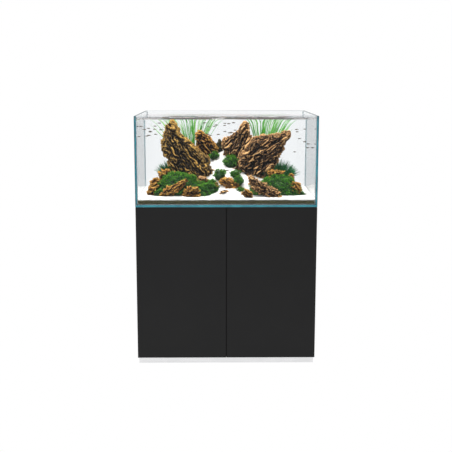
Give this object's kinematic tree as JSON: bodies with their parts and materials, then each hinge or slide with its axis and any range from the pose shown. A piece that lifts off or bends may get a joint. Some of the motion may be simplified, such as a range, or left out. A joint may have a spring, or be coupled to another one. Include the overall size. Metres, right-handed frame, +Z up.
{
  "type": "aquarium on stand",
  "caption": "Rimless open-top glass tank with an aquascape of rocks, moss and white sand, on a dark cabinet with two handleless hinged doors and a metal plinth.",
  "frame": {"origin": "middle of the footprint on the floor", "axes": "+X to the right seen from the front, +Y from the doors to the back, +Z up; the doors face -Y"},
  "size_m": [0.9, 0.6, 1.258],
  "materials": {
    "plinth_aluminium": "satin anodised",
    "cabinet_board": "satin lacquered board",
    "door_front": "satin lacquer, smooth",
    "black_plastic": "matt moulded",
    "zinc_hardware": "bright zinc plate",
    "hinge_steel": "nickel-plated steel",
    "foam": "closed-cell foam",
    "tank_glass": "polished clear float glass",
    "silicone": "clear neutral sealant",
    "soil": "granular dark soil",
    "sand": "fine white sand",
    "aquarium_rock": "rough weathered, pitted",
    "moss": "dense soft leaves",
    "grass_blades": "thin flexible leaves"
  },
  "bodies": {
    "stand": {"plinth_front": "plinth_aluminium", "plinth_rear": "plinth_aluminium", "plinth_left": "plinth_aluminium", "plinth_right": "plinth_aluminium", "plinth_cross": "plinth_aluminium", "board_left": "cabinet_board", "board_right": "cabinet_board", "board_bottom": "cabinet_board", "board_top": "cabinet_board", "board_divider": "cabinet_board", "board_back": "cabinet_board", "port_sleeves": "black_plastic", "shelf": "cabinet_board", "shelf_pins": "zinc_hardware", "angle_brackets": "zinc_hardware", "door_catches": "black_plastic", "hinge_arms_left": "hinge_steel", "hinge_arms_right": "hinge_steel", "hinge_screws": "zinc_hardware", "foam_mat": "foam", "pane_bottom": "tank_glass", "pane_front": "tank_glass", "pane_back": "tank_glass", "pane_left": "tank_glass", "pane_right": "tank_glass", "silicone_beads": "silicone", "soil_bed": "soil", "white_sand": "sand", "rock_left": "aquarium_rock", "rock_right": "aquarium_rock", "rock_centre": "aquarium_rock", "rock_back": "aquarium_rock", "stones_left": "aquarium_rock", "stones_front": "aquarium_rock", "stones_right": "aquarium_rock", "moss_left": "moss", "moss_right": "moss", "moss_tufts": "moss", "grass_left": "grass_blades", "grass_right": "grass_blades"},
    "left_door": {"door_left": "door_front", "hinge_cups_left": "hinge_steel", "strike_left": "zinc_hardware"},
    "right_door": {"door_right": "door_front", "hinge_cups_right": "hinge_steel", "strike_right": "zinc_hardware"}
  },
  "joints": [
    {"name": "left_door_hinge", "type": "hinge", "parent": "stand", "child": "left_door", "pos_m": [-0.442, -0.2885, 0.45], "axis": [0, 0, -1], "range_deg": [0, 95]},
    {"name": "right_door_hinge", "type": "hinge", "parent": "stand", "child": "right_door", "pos_m": [0.442, -0.2885, 0.45], "axis": [0, 0, 1], "range_deg": [0, 95]}
  ]
}
